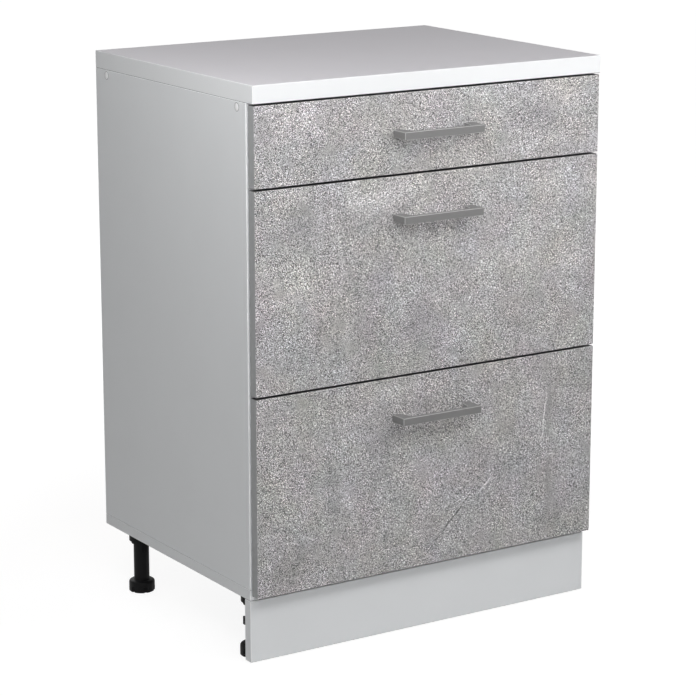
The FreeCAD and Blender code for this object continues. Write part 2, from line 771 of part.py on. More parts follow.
def make_rollers(label, drawer, along, up, radius):
    """A pair of plastic rollers, left and right, bored for their pins."""
    body = new_body(label, z=runner_level(drawer))
    for side in ("left", "right"):
        pad(body, "YZ", *side_span(side, "roller_near", "roller_far"), circle(along, up, radius))
    for side in ("left", "right"):
        pocket(body, "YZ", *side_span(side, "roller_near", "roller_far"),
               circle(along, up, "pin_radius + roller_bore_play"))


# ---------------------------------------------------------------- drawers


def handle_height_of(drawer):
    """The height of a handle's middle, measured from the drawer's runner."""
    return f"{drawer['front_height']} - {drawer['handle_drop']} - runner_lift"


def tab_screw_heights(drawer):
    """Heights of the two screws in each end tab of a drawer's side."""
    top = f"(side_drop + {drawer['side_height']})"
    return (f"tab_bottom + ({top} - tab_bottom) * 0.25", f"tab_bottom + ({top} - tab_bottom) * 0.75")


def tab_screw_spots(drawer):
    columns = [from_side(side, "tab_screw_t") for side in ("left", "right")]
    return grid(columns, tab_screw_heights(drawer))


def base_screw_spots(side):
    rows = [f"front_rear + base_screw_inset + (drawer_depth - 2 * base_screw_inset) * {share}"
            for share in (0, 0.5, 1)]
    return [(from_side(side, "base_screw_t"), along) for along in rows]


def make_front(name, drawer):
    """A drawer front with eased edges, drilled for its handle and for the drawer's tabs."""
    body = new_body(f"{name}_front", z=runner_level(drawer))
    edge = "half_width - front_side_reveal"
    pad(body, "XZ", "front_plane", "front_rear",
        rectangle(minus(edge), edge, "-runner_lift", f"{drawer['front_height']} - runner_lift"))
    round_edges(body, "front_edge_radius", lambda side_edge: True)
    middle = handle_height_of(drawer)
    handle_holes = [(across, middle) for across in both_sides("handle_screw_x")]
    pocket(body, "XZ", "front_plane", "front_rear",
           *circles(handle_holes, "handle_screw_radius + screw_play"))
    pocket(body, "XZ", "front_rear + steel - wood_screw_length - screw_play", "front_rear",
           *circles(tab_screw_spots(drawer), "screw_hole"))


def make_handle(name, drawer):
    """A bow handle: a bar with a flared leg at each end, tapped for its screws."""
    body = new_body(f"{name}_handle", z=runner_level(drawer))
    middle = handle_height_of(drawer)
    tip = "front_plane - handle_reach"
    bar_back = f"{tip} + handle_bar_thickness"
    end = "handle_screw_x + handle_screw_edge"
    foot = f"{end} - handle_leg_width"
    root = f"{foot} - handle_leg_flare"
    section = outline(
        (minus(end), "front_plane"), (minus(end), tip), (end, tip), (end, "front_plane"),
        (foot, "front_plane"), (root, bar_back), (minus(root), bar_back), (minus(foot), "front_plane"),
    )
    pad(body, "XY", f"{middle} - handle_height / 2", f"{middle} + handle_height / 2", section)
    inner_x, inner_y = number(root), number(bar_back)

    def is_inner_corner(edge):
        box = edge.BoundBox
        return box.ZLength > 1 and abs(abs(box.XMin) - inner_x) < 1e-3 and abs(box.YMin - inner_y) < 1e-3

    round_edges(body, "handle_inner_radius", is_inner_corner)
    front_y = number(tip)
    round_edges(body, "handle_edge_radius", lambda edge: edge.BoundBox.YMax < front_y + 1e-3)
    holes = [(across, middle) for across in both_sides("handle_screw_x")]
    pocket(body, "XZ", "front_plane - handle_screw_grip - screw_play", "front_plane",
           *circles(holes, "handle_screw_radius + screw_play"))


def make_handle_screws(name, drawer):
    """Machine screws from inside the drawer into the handle's legs."""
    body = new_body(f"{name}_handle_screws", z=runner_level(drawer))
    holes = [(across, handle_height_of(drawer)) for across in both_sides("handle_screw_x")]
    pad(body, "XZ", "front_plane - handle_screw_grip", "front_rear", *circles(holes, "handle_screw_radius"))
    pad(body, "XZ", "front_rear", "front_rear + handle_head_height", *circles(holes, "handle_head_radius"))


def make_drawer_side(name, side, drawer):
    """A folded steel side: base flange, web, hem, track, two end tabs and the roller's pin."""
    body = new_body(f"{name}_side_{side}", z=runner_level(drawer))
    top = f"side_drop + {drawer['side_height']}"

    def across(text):
        return from_side(side, text)

    section = outline(
        (across("web_near"), "side_drop"),
        (across("web_far + base_flange"), "side_drop"),
        (across("web_far + base_flange"), "base_bottom"),
        (across("web_far"), "base_bottom"),
        (across("web_far"), top),
        (across("web_near - top_hem"), top),
        (across("web_near - top_hem"), f"{top} - steel"),
        (across("web_near"), f"{top} - steel"),
        (across("web_near"), "track_top"),
        (across("roller_near"), "track_top"),
        (across("roller_near"), "track_bottom"),
        (across("web_near"), "track_bottom"),
    )
    pad(body, "XZ", "front_rear", "drawer_back", section)
    tab = rectangle(*side_span(side, "web_far", "web_far + tab_width"), "tab_bottom", f"{top} - steel")
    pad(body, "XZ", "front_rear", "front_rear + steel", tab)
    pad(body, "XZ", "back_board_rear", "drawer_back", tab)
    own_spots = [(across("tab_screw_t"), height) for height in tab_screw_heights(drawer)]
    for low, high in (("front_rear", "front_rear + steel"), ("back_board_rear", "drawer_back")):
        pocket(body, "XZ", low, high, *circles(own_spots, "screw_hole"))
    pocket(body, "XY", "side_drop", "base_bottom", *circles(base_screw_spots(side), "screw_hole"))
    pad(body, "YZ", *side_span(side, "roller_far + roller_play", "web_near"),
        circle("rear_roller_y", "rear_roller_z", "pin_collar_radius"))
    pad(body, "YZ", *side_span(side, "roller_near", "roller_far + roller_play"),
        circle("rear_roller_y", "rear_roller_z", "pin_radius"))


def make_drawer_base(name, drawer):
    """The chipboard base rests on the flanges of both steel sides."""
    body = new_body(f"{name}_base", z=runner_level(drawer))
    pad(body, "XY", "base_bottom", "base_top",
        rectangle("-board_half", "board_half", "front_rear", "drawer_back"))
    round_edges(body, "board_edge_radius", lambda edge: True)
    spots = base_screw_spots("left") + base_screw_spots("right")
    pocket(body, "XY", "base_bottom", "side_drop + wood_screw_length + screw_play",
           *circles(spots, "screw_hole"))


def make_drawer_back(name, drawer):
    """The chipboard back stands on the base, in front of the rear tabs."""
    body = new_body(f"{name}_back", z=runner_level(drawer))
    pad(body, "XZ", "back_board_front", "back_board_rear",
        rectangle("-board_half", "board_half", "base_top", drawer["back_top"]))
    round_edges(body, "board_edge_radius", lambda edge: True)
    pocket(body, "XZ", "drawer_back - wood_screw_length - screw_play", "back_board_rear",
           *circles(tab_screw_spots(drawer), "screw_hole"))


def make_box_screws(name, drawer):
    """Screws from the flanges into the base, and from the tabs into the front and the back."""
    body = new_body(f"{name}_box_screws", z=runner_level(drawer))
    base_spots = base_screw_spots("left") + base_screw_spots("right")
    pad(body, "XY", "side_drop", "side_drop + wood_screw_length", *circles(base_spots, "wood_screw_radius"))
    pad(body, "XY", "side_drop - wood_head_height", "side_drop", *circles(base_spots, "wood_head_radius"))
    spots = tab_screw_spots(drawer)
    front_head = "front_rear + steel"
    pad(body, "XZ", f"{front_head} - wood_screw_length", front_head, *circles(spots, "wood_screw_radius"))
    pad(body, "XZ", front_head, f"{front_head} + wood_head_height", *circles(spots, "wood_head_radius"))
    pad(body, "XZ", "drawer_back - wood_screw_length", "drawer_back", *circles(spots, "wood_screw_radius"))
    pad(body, "XZ", "drawer_back", "drawer_back + wood_head_height", *circles(spots, "wood_head_radius"))


def make_gallery_rods(name, drawer):
    """Two round rods above the steel sides, from the front to the raised back."""
    body = new_body(f"{name}_gallery_rods", z=runner_level(drawer))
    spots = [(from_side(side, "rod_t"), "rod_z") for side in ("left", "right")]
    pad(body, "XZ", "front_rear", "back_board_front", *circles(spots, "rod_radius"))
    for low, high in (
        ("front_rear", "front_rear + rod_rosette_thickness"),
        ("back_board_front - rod_rosette_thickness", "back_board_front"),
    ):
        pad(body, "XZ", low, high, *circles(spots, "rod_rosette_radius"))


def make_drawer(level_name, drawer):
    name = f"{level_name}_drawer"
    make_front(name, drawer)
    make_handle(name, drawer)
    make_handle_screws(name, drawer)
    for side in ("left", "right"):
        make_drawer_side(name, side, drawer)
    make_drawer_base(name, drawer)
    make_drawer_back(name, drawer)
    make_box_screws(name, drawer)
    make_rollers(f"{name}_rollers", drawer, "rear_roller_y", "rear_roller_z", "rear_roller_radius")
    if drawer["has_rods"]:
        make_gallery_rods(name, drawer)


# ---------------------------------------------------------------- the whole cabinet

make_worktop()
make_side_panel("left")
make_side_panel("right")
make_bottom_panel()
make_top_rail("front", "carcass_front", "front_rail_back",
              "front_cap_y", "front_cap_y + dowel_offset", "front_rail_y")
make_top_rail("back", "back_rail_front", "back_front",
              "back_cap_y", "back_cap_y - dowel_offset", "back_rail_y")
make_back_panel()
make_cover_caps()
make_carcass_screws()
make_wood_dowels()
make_worktop_screws()
make_leg_sockets()
make_leg_tubes()
make_socket_screws()
for leg_y, place in (("leg_front_y", "front"), ("leg_back_y", "back")):
    for leg_x, side in zip(both_sides("leg_x"), ("left", "right")):
        make_foot(f"foot_{place}_{side}", leg_x, leg_y)
make_plinth()
for level_name, drawer in DRAWERS.items():
    for side in ("left", "right"):
        make_runner(side, level_name, drawer)
make_runner_screws()
for level_name, drawer in DRAWERS.items():
    make_rollers(f"{level_name}_runner_rollers", drawer,
                 "cabinet_roller_y", "cabinet_roller_z", "cabinet_roller_radius")
    make_drawer(level_name, drawer)

document.recompute()
failed = [item.Name for item in document.Objects if {"Invalid", "Error"} & set(item.State)]
if failed:
    raise RuntimeError(f"these objects failed: {failed}")
os.makedirs("parts", exist_ok=True)
for node in NODES:
    if node.Shape.isNull() or not node.Shape.isValid():
        raise RuntimeError(f"{node.Label} has no valid shape")
    node.Shape.exportStep(os.path.join("parts", f"{node.Label}.step"))
print(f"{len(NODES)} nodes, {sum(len(node.Shape.Solids) for node in NODES)} solids")
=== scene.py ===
# %% [markdown]
# # A kitchen base cabinet with three drawers
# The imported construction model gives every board, fitting and leg of the cabinet
# at its true size and place. This lesson dresses it: it sets up the view and the
# light, mixes the finishes from procedural nodes, and models the small turned and
# moulded pieces more finely than a construction model needs to.
#
# Each step has a note first and then its code. The cells run from top to bottom.

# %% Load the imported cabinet
import json
import math

import bmesh
import bpy
from mathutils import Matrix, Vector

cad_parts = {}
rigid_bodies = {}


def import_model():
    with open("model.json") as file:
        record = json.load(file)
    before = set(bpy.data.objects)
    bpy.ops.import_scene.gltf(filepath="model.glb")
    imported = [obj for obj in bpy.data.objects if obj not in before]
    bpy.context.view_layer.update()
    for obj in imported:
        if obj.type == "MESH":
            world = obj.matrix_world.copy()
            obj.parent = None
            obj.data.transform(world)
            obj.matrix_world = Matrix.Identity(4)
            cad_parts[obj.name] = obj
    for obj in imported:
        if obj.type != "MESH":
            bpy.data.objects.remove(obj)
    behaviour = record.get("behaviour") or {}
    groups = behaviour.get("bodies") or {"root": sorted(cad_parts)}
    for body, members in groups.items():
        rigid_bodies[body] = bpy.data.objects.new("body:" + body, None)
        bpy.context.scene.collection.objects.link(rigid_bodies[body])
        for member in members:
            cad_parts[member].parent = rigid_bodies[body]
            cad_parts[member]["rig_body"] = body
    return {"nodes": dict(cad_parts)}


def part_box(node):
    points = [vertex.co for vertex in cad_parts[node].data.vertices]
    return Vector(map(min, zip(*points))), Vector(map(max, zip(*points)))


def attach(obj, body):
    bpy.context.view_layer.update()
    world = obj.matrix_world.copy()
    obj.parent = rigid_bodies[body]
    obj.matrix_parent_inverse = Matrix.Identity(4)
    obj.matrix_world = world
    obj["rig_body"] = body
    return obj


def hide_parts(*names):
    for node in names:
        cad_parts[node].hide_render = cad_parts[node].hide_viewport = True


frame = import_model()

scene = bpy.context.scene
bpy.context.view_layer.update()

# %% [markdown]
# ## The view
# The cabinet is seen from its left front, a little from above, with a long lens.
# A long lens far away keeps the boards' edges almost parallel, as a catalogue view
# does. The lens axis is simply tilted down, with no shift, so that the same camera
# also frames the cabinet well when it is walked round it.

# %% Camera
camera_lens = bpy.data.cameras.new("view_camera")
camera_lens.sensor_width = 36
camera_lens.lens = 133.41
camera = bpy.data.objects.new("view_camera", camera_lens)
camera.location = (-2.0824, -3.2025, 1.3226)
look_right = math.radians(32.95)
look_down = math.radians(13.739)
camera.rotation_euler = (math.pi / 2 - look_down, 0, -look_right)
scene.collection.objects.link(camera)
scene.camera = camera
print("camera at", tuple(camera.location), "with a lens of", camera_lens.lens, "mm")

# %% [markdown]
# ## Writing finishes as nodes
# Each finish is a Principled shader fed by noise patterns. Two small helpers keep
# that short. `node` adds a node, sets its options and fills its inputs: an input
# that is given another node's output is linked, anything else is typed in.
# `new_finish` starts a material whose even properties are set on the shader itself.

# %% Helpers for node trees
def node(tree, kind, inputs=None, **options):
    """Adds a node; inputs maps a socket's name or number to a value or an output."""
    added = tree.nodes.new("ShaderNode" + kind)
    for option, value in options.items():
        setattr(added, option, value)
    for socket, value in (inputs or {}).items():
        if isinstance(value, bpy.types.NodeSocket):
            tree.links.new(value, added.inputs[socket])
        else:
            added.inputs[socket].default_value = value
    return added


def new_finish(name, **even):
    """A material, its node tree and its shader, with the even properties set."""
    finish = bpy.data.materials.new(name)
    finish.use_nodes = True
    shader = finish.node_tree.nodes["Principled BSDF"]
    for socket, value in even.items():
        shader.inputs[socket.replace("_", " ")].default_value = value
    return finish, finish.node_tree, shader


def feed(tree, output, shader, socket):
    """Links a node's output to one of the shader's sockets."""
    tree.links.new(output, shader.inputs[socket])


# %% [markdown]
# ## Patterns shared by the finishes
# Every pattern is read from the piece's own coordinates, in metres, so a scale of
# 100 means blotches of about 10 mm. Noise needs no unwrapping and stays sharp close
# up. `speckle` is that noise, `swing` spreads it about a middle value, and `between`
# turns a range of a value into a soft 0 to 1 mask.

# %% Helpers for points and noise
def surface_of(tree):
    """The point on the piece, in metres."""
    return node(tree, "TexCoord").outputs["Object"]


def speckle(tree, point, scale, detail=2.0, roughness=0.5, output="Fac"):
    """Noise around 0.5 with blotches of about 1 / scale metres."""
    inputs = {"Vector": point, "Scale": scale, "Detail": detail, "Roughness": roughness}
    return node(tree, "TexNoise", inputs).outputs[output]


def stretched(tree, point, factors, shift=(0, 0, 0)):
    """The point with each axis multiplied, to draw a pattern out along the others."""
    inputs = {"Vector": point, "Scale": factors, "Location": shift}
    return node(tree, "Mapping", inputs).outputs[0]


def shifted(tree, point, shift):
    """The point moved far away, where the same noise gives another pattern."""
    return stretched(tree, point, (1, 1, 1), shift)


# %% Helpers for values and colours
def times_plus(tree, value, factor, added=0.0):
    """value * factor + added."""
    inputs = {0: value, 1: factor, 2: added}
    return node(tree, "Math", inputs, operation="MULTIPLY_ADD").outputs[0]


def swing(tree, noise, size, middle=0.0):
    """Noise spread so that its whole range is size, about middle."""
    return times_plus(tree, noise, size, middle - size / 2)


def both(tree, first, second, operation="MULTIPLY"):
    """Two values combined by a Math operation."""
    return node(tree, "Math", {0: first, 1: second}, operation=operation).outputs[0]


def size_of(tree, value):
    """The value without its sign."""
    return both(tree, value, 0.0, "ABSOLUTE")


def opposite(tree, mask):
    """1 - mask."""
    return both(tree, 1.0, mask, "SUBTRACT")


def between(tree, value, low, high):
    """0 below low, 1 above high, and a smooth step between them."""
    inputs = {"Value": value, "From Min": low, "From Max": high}
    return node(tree, "MapRange", inputs, interpolation_type="SMOOTHSTEP").outputs[0]


def scaled(tree, colour, factor):
    """The colour, or any vector, with each part times factor."""
    inputs = {0: colour, "Scale": factor}
    return node(tree, "VectorMath", inputs, operation="SCALE").outputs[0]


def mixed(tree, share, first, second):
    """The first colour where share is 0, the second where it is 1."""
    blend = node(tree, "Mix", {0: share, 6: first, 7: second}, data_type="RGBA")
    return blend.outputs[2]


def bumps(tree, shader, height, depth):
    """Raises the surface by height times depth, in metres, in the shading only."""
    relief = node(tree, "Bump", {"Height": height, "Distance": depth, "Strength": 1.0})
    feed(tree, relief.outputs[0], shader, "Normal")


# %% [markdown]
# ## Eased edges and raw edges
# Boards meet the light differently along their eased edges, and their rear edges
# are left raw. Both are found from the way a face points. On an eased edge no
# single axis carries the whole normal, so the largest part of it drops below 1.

# %% Masks from the way a face points
def facing_parts(tree):
    """The x, y and z parts of the piece's own normal."""
    normal = node(tree, "TexCoord").outputs["Normal"]
    return node(tree, "SeparateXYZ", {0: normal}).outputs


def eased_edge(tree):
    """1 on rounded edges, 0 on the flat faces along the axes."""
    sizes = [size_of(tree, part) for part in facing_parts(tree)]
    largest = both(tree, both(tree, sizes[0], sizes[1], "MAXIMUM"), sizes[2], "MAXIMUM")
    return opposite(tree, between(tree, largest, 0.90, 0.995))


# %% [markdown]
# ## Concrete-look laminate
# The drawer fronts wear a printed laminate that imitates trowelled concrete. Close
# up it is a salt-and-pepper grain of 1 to 2 mm, over pale and dark clouds with faint
# warm, green and violet tints. A picture could be mapped on, but layered noise stays
# sharp at any distance and never repeats, so each front gets its own piece of it.
#
# Noise alone looks too regular. So its point is first pushed about by another
# noise: strongly for the clouds, which then drift like spread plaster, and a little
# for the fine lines, which then waver like scratches.

# %% Concrete: wavering points
def pushed(tree, point, scale, reach):
    """The point moved by up to about half of reach, by noise of that scale."""
    push = speckle(tree, point, scale, 2, 0.5, "Color")
    middle = {0: push, 1: (0.5, 0.5, 0.5)}
    push = node(tree, "VectorMath", middle, operation="SUBTRACT").outputs[0]
    push = scaled(tree, push, reach)
    return node(tree, "VectorMath", {0: point, 1: push}, operation="ADD").outputs[0]


concrete, tree, shader = new_finish("concrete_laminate", Specular_IOR_Level=0.35)
point = surface_of(tree)
drifting = pushed(tree, point, scale=14, reach=0.07)
wavering = pushed(tree, point, scale=55, reach=0.008)

# %% [markdown]
# `shade` holds how bright the print is, where 1 is its usual grey, and later also the
# painted highlight and painted shade of the eased edges. Wide clouds and smaller
# patches set it first. The zones say where the grain is coarse, the smudges where it
# is rubbed away, and the tints are three noises, one for each colour part.

# %% Concrete: clouds, zones and tints
clouds = speckle(tree, drifting, 7, 3, 0.55)
patches = speckle(tree, shifted(tree, drifting, (3, 1, 7)), 27, 4, 0.6)
shade = swing(tree, clouds, 0.30, 1.0)
shade = both(tree, shade, swing(tree, patches, 0.52), "ADD")

zones = speckle(tree, shifted(tree, drifting, (9, 4, 2)), 15, 3, 0.6)
zones = between(tree, zones, 0.36, 0.6)
smudges = speckle(tree, stretched(tree, drifting, (1, 1, 0.8), (2, 6, 4)), 34, 4, 0.6)
smudges = between(tree, smudges, 0.55, 0.68)

tints = speckle(tree, shifted(tree, drifting, (5, 5, 5)), 17, 2, 0.5, "Color")
tint_range = {0: tints, 1: (0.11, 0.09, 0.15), 2: (0.945, 0.955, 0.925)}
tints = node(tree, "VectorMath", tint_range, operation="MULTIPLY_ADD").outputs[0]

# %% [markdown]
# ## Trowel marks
# A few marks are too large and too particular to leave to chance: broad pale and
# dark sweeps, the smooth upright bands, a long slanting crack with a pale lip, and
# some short scratches. Each one is a soft ellipse. The mapping node turns the point
# into the ellipse's own measure, where its rim is 1 from the middle.

# %% Concrete: the marks' tables
# x and z of the middle, half length, half width (all mm), turn (degrees), strength
sweeps = [
    (-235, 770, 70, 45, 10, 0.14), (-60, 700, 110, 30, 8, -0.06),
    (170, 752, 150, 48, 0, -0.2), (-235, 668, 60, 22, -50, -0.1),
    (-250, 690, 60, 34, 0, 0.2), (-90, 668, 95, 34, 10, 0.32),
    (230, 655, 75, 45, 0, 0.10), (-230, 555, 75, 38, 25, 0.12),
    (150, 560, 150, 55, 15, 0.14), (-185, 482, 34, 20, -30, -0.2),
    (-40, 460, 160, 50, 5, -0.11), (-60, 372, 120, 30, 5, 0.16),
    (-235, 320, 55, 80, 0, -0.05), (-143, 222, 40, 13, 86, 0.26),
    (-100, 300, 70, 16, -20, -0.12), (-215, 235, 50, 22, 40, 0.12),
    (255, 540, 60, 50, 0, 0.14), (255, 360, 60, 45, 0, -0.13),
    # the dark sweeps at z 130 to 140 make the lowest front darker towards its bottom
    (-205, 745, 38, 24, 15, -0.2), (-240, 140, 80, 60, 20, -0.17),
    (-60, 130, 120, 40, 5, -0.08), (235, 140, 70, 60, 0, -0.12),
]
bands = [
    (216, 315, 66, 9, 90, -0.12), (217, 190, 62, 10, 90, -0.14),
    (-213, 655, 26, 10, -55, -0.16),
]
cracks = [
    (42, 170, 92, 1.8, 46, -0.8), (97, 209, 26, 2.0, 44, 0.95),
    (60, 191, 62, 1.3, 46, 0.6), (54, 120, 22, 1.6, -55, 0.6),
    (206, 292, 54, 2.0, 84, 0.85), (216, 239, 17, 1.6, -12, 0.7),
    (146, 337, 32, 1.4, -26, 0.47), (174, 345, 30, 1.2, 90, 0.41),
    (183, 131, 26, 1.5, 90, 0.47), (-58, 565, 40, 1.2, 20, -0.54),
    (-62, 568, 26, 1.2, 20, 0.47), (-258, 558, 34, 3.3, 18, 0.41),
    (-214, 550, 25, 3, -46, 0.41), (-265, 582, 32, 2, 0, 0.27),
    (-150, 520, 20, 1.8, 40, 0.54), (-278, 146, 13, 2.4, -66, 0.81),
    (-202, 325, 44, 1.2, 90, 0.3), (-143, 225, 17, 1.4, 88, 0.47),
    (-218, 183, 30, 2.4, -28, 0.41), (145, 672, 9, 1.5, 88, 0.81),
    (-10, 590, 60, 1.4, 12, 0.27), (80, 468, 46, 1.4, 38, 0.3),
    (-30, 262, 36, 1.4, -20, 0.27), (108, 748, 40, 1.4, 33, 0.3),
]
print("trowel marks:", len(sweeps) + len(bands) + len(cracks))


# %% Concrete: sweeps and smooth bands
through_front = 10  # the ellipses reach right through the board


def marked(tree, point, shade, marks, softness):
    """Adds soft ellipses to shade; softness is the share of each that fades out."""
    for x, z, half_length, half_width, turn, strength in marks:
        ellipse = {
            "Vector": point,
            "Location": (x / 1000, 0, z / 1000),
            "Rotation": (0, math.radians(-turn), 0),
            "Scale": (half_length / 1000, through_front, half_width / 1000),
        }
        own = node(tree, "Mapping", ellipse, vector_type="TEXTURE").outputs[0]
        reach = node(tree, "VectorMath", {0: own}, operation="LENGTH").outputs["Value"]
        fade = {"Value": reach, "From Min": 1 - softness, "From Max": 1.0,
                "To Min": strength, "To Max": 0.0}
        mark = node(tree, "MapRange", fade, interpolation_type="SMOOTHSTEP").outputs[0]
        shade = both(tree, shade, mark, "ADD")
    return shade


shade = marked(tree, drifting, shade, sweeps, softness=1.0)
shade = marked(tree, wavering, shade, bands, softness=0.9)
on_bands = both(tree, marked(tree, wavering, 0.0, bands, softness=0.9), -5.0)

# %% [markdown]
# The grain is two noises, one at about 1.5 mm and one at half of that. It is
# strongest in the coarse zones and weaker on the smudges and smooth bands. White
# flecks are the middles of some Voronoi cells: the cell's own random colour decides
# which ones show.

# %% Concrete: grain
coarse_grain = swing(tree, speckle(tree, point, 640, 0), 3.1)
fine_grain = swing(tree, speckle(tree, point, 1250, 0), 6.0)
most_smoothing = 0.6
smoothing = both(tree, both(tree, smudges, most_smoothing), on_bands, "MAXIMUM")
smoothing = node(tree, "Clamp", {0: smoothing, 1: 0.0, 2: most_smoothing}).outputs[0]
strength = times_plus(tree, zones, 0.35, 0.68)
strength = both(tree, strength, opposite(tree, smoothing))
grain = both(tree, both(tree, coarse_grain, fine_grain, "ADD"), strength)
shade = both(tree, shade, both(tree, grain, shade), "ADD")

# %% Concrete: cracks and white flecks
shade = marked(tree, wavering, shade, cracks, softness=0.7)
cells = node(tree, "TexVoronoi", {"Vector": point, "Scale": 150.0})
fleck = opposite(tree, between(tree, cells.outputs["Distance"], 0.09, 0.27))
cell_number = node(tree, "SeparateXYZ", {0: cells.outputs["Color"]}).outputs[0]
chosen = between(tree, cell_number, 0.66, 0.72)
crowded = between(tree, patches, 0.42, 0.62)
fleck = both(tree, both(tree, fleck, chosen), both(tree, crowded, strength))
shade = both(tree, shade, times_plus(tree, fleck, 1.5), "ADD")

# %% [markdown]
# Trowelled concrete also has drawn-out upright marks. They come from the same
# noise, stretched upwards, and only show in some places.

# %% Concrete: upright marks
upright = speckle(tree, stretched(tree, wavering, (120, 120, 8)), 1, 2, 0.55)
places = speckle(tree, stretched(tree, point, (1, 1, 0.4), (2, 8, 1)), 9, 1)
places = between(tree, places, 0.52, 0.66)
shade = both(tree, shade, both(tree, swing(tree, upright, 0.8), places), "ADD")

# %% [markdown]
# The narrow sides of a front carry a plain grey edge band, without the print. Its top
# and bottom sides, which only show as the thin joint between two fronts, are painted
# near black as painted shade in the joint. The print's own eased edge carries a painted
# highlight on top and painted shade below.

# %% Concrete: edge band, colour, gloss and relief
print_grey = (0.473, 0.461, 0.464)
side_band = (0.385, 0.39, 0.395, 1)
# painted shade: near black on the top and bottom sides, for the shadow in the joints
painted_joint_shade = (0.065, 0.065, 0.067, 1)

ahead, upward = facing_parts(tree)[1:3]
# painted light: eased edges that point up get a painted highlight, those that point down painted
# shade
rim = times_plus(tree, upward, 0.35, 0.15)
shade = both(tree, shade, both(tree, eased_edge(tree), rim), "ADD")
tinted = {0: scaled(tree, tints, shade), 1: print_grey}
print_colour = node(tree, "VectorMath", tinted, operation="MULTIPLY").outputs[0]

on_print = between(tree, size_of(tree, ahead), 0.35, 0.7)
in_painted_joint = between(tree, size_of(tree, upward), 0.6, 0.9)
mottle = swing(tree, speckle(tree, point, 120, 3), 0.3, 1.0)
band_colour = scaled(tree, mixed(tree, in_painted_joint, side_band, painted_joint_shade), mottle)
feed(tree, mixed(tree, on_print, band_colour, print_colour), shader, "Base Color")
feed(tree, times_plus(tree, grain, 0.1, 0.56), shader, "Roughness")
bumps(tree, shader, both(tree, grain, on_print), 0.00008)
print("concrete laminate:", len(tree.nodes), "nodes")

# %% [markdown]
# ## White melamine board
# Sides, bottom, rails, plinth and the drawers' boards are chipboard coated with
# white melamine. Its surface is pressed with a fine pearl structure that softens
# reflections. The white is slightly cool. Rear edges are left raw: there the
# chipboard shows its yellow-brown chips.
#
# A board's eased edges carry a painted highlight where they point up and painted shade
# where they point down. Front-facing faces are painted lighter and the worktop's top
# face darker, as painted light and painted shade. One function makes all three whites.

# %% Chips of a raw board edge
def chipboard_colour(tree, point):
    """Pale and dark wood chips, a few millimetres long."""
    chips = {"Vector": stretched(tree, point, (300, 300, 620)), "Scale": 1.0}
    chips = node(tree, "TexVoronoi", chips).outputs["Color"]
    shade = node(tree, "SeparateXYZ", {0: chips}).outputs[0]
    return mixed(tree, shade, (0.30, 0.19, 0.10, 1), (0.62, 0.45, 0.27, 1))


# %% Melamine
def melamine(name, white, raw_rear=False, shine=0.4, front=1.0, top=None, edge_highlight=0.3):
    """White coated board. Its eased edges carry a painted highlight where they point up
    and painted shade where they point down. Its front-facing faces are painted front
    times as bright, as painted light, its top face may be painted the darker colour top,
    as painted shade, and raw_rear shows chipboard."""
    finish, tree, shader = new_finish(name, Specular_IOR_Level=shine)
    point = surface_of(tree)
    ahead, upward = facing_parts(tree)[1:3]
    # painted light on the eased edges: a painted highlight where they point up, painted shade
    # where they point down
    edge_light_and_shade = {"Value": upward, "From Min": -0.5, "From Max": -0.05,
           "To Min": -1.0, "To Max": edge_highlight}
    edge_light_and_shade = node(tree, "MapRange", edge_light_and_shade).outputs[0]
    mottle_and_painted_light = swing(tree, speckle(tree, point, 14, 3), 0.03, 1.0)
    mottle_and_painted_light = both(tree, mottle_and_painted_light, both(tree, eased_edge(tree), edge_light_and_shade), "ADD")
    # painted light: the faces that point forward are made front times as bright
    painted_front_light = opposite(tree, between(tree, ahead, -0.9, -0.6))
    mottle_and_painted_light = both(tree, mottle_and_painted_light, times_plus(tree, painted_front_light, front - 1, 1.0))
    if top:
        # painted shade: the face that points up takes the darker colour top
        painted_top_shade = between(tree, upward, 0.8, 0.97)
        white = mixed(tree, painted_top_shade, (*white, 1), (*top, 1))
    colour = scaled(tree, white, mottle_and_painted_light)
    if raw_rear:
        rear = between(tree, ahead, 0.9, 0.95)
        colour = mixed(tree, rear, colour, chipboard_colour(tree, point))
    pearl = speckle(tree, point, 900)
    feed(tree, colour, shader, "Base Color")
    feed(tree, swing(tree, pearl, 0.2, 0.46), shader, "Roughness")
    bumps(tree, shader, pearl, 0.00003)
    return finish


# %% White boards
cool_white = (0.845, 0.860, 0.872)
# front paints light on each board's forward faces, as painted light
carcass_white = melamine("carcass_melamine", cool_white, raw_rear=True, front=1.14)
board_white = melamine("drawer_board_melamine", cool_white, front=1.08)
# top paints the worktop's top face a darker grey, as painted shade
worktop_white = melamine("worktop_laminate", (0.90, 0.912, 0.922), shine=0.06,
                         front=1.07, top=(0.745, 0.725, 0.76), edge_highlight=0.14)
print("white boards:", carcass_white.name, board_white.name, worktop_white.name)

# %% [markdown]
# ## Hardboard back
# The back is 3 mm hardboard: lacquered white where it faces the inside, bare brown
# fibre outside. One material serves both faces and picks by the way a face points.

# %% Hardboard
hardboard, tree, shader = new_finish("hardboard_back", Specular_IOR_Level=0.3)
point = surface_of(tree)
fibre = speckle(tree, stretched(tree, point, (1, 1, 1.6)), 420, 4, 0.65)
felt = speckle(tree, point, 30, 3, 0.6)
fibres = between(tree, fibre, 0.3, 0.7)
brown = mixed(tree, fibres, (0.16, 0.085, 0.042, 1), (0.34, 0.20, 0.11, 1))
brown = mixed(tree, times_plus(tree, felt, 0.3), brown, (0.22, 0.13, 0.07, 1))
outside = between(tree, facing_parts(tree)[1], -0.9, -0.5)
feed(tree, mixed(tree, outside, (0.80, 0.80, 0.79, 1), brown), shader, "Base Color")
feed(tree, times_plus(tree, outside, 0.35, 0.42), shader, "Roughness")
bumps(tree, shader, fibre, 0.00006)
print("hardboard:", len(tree.nodes), "nodes")

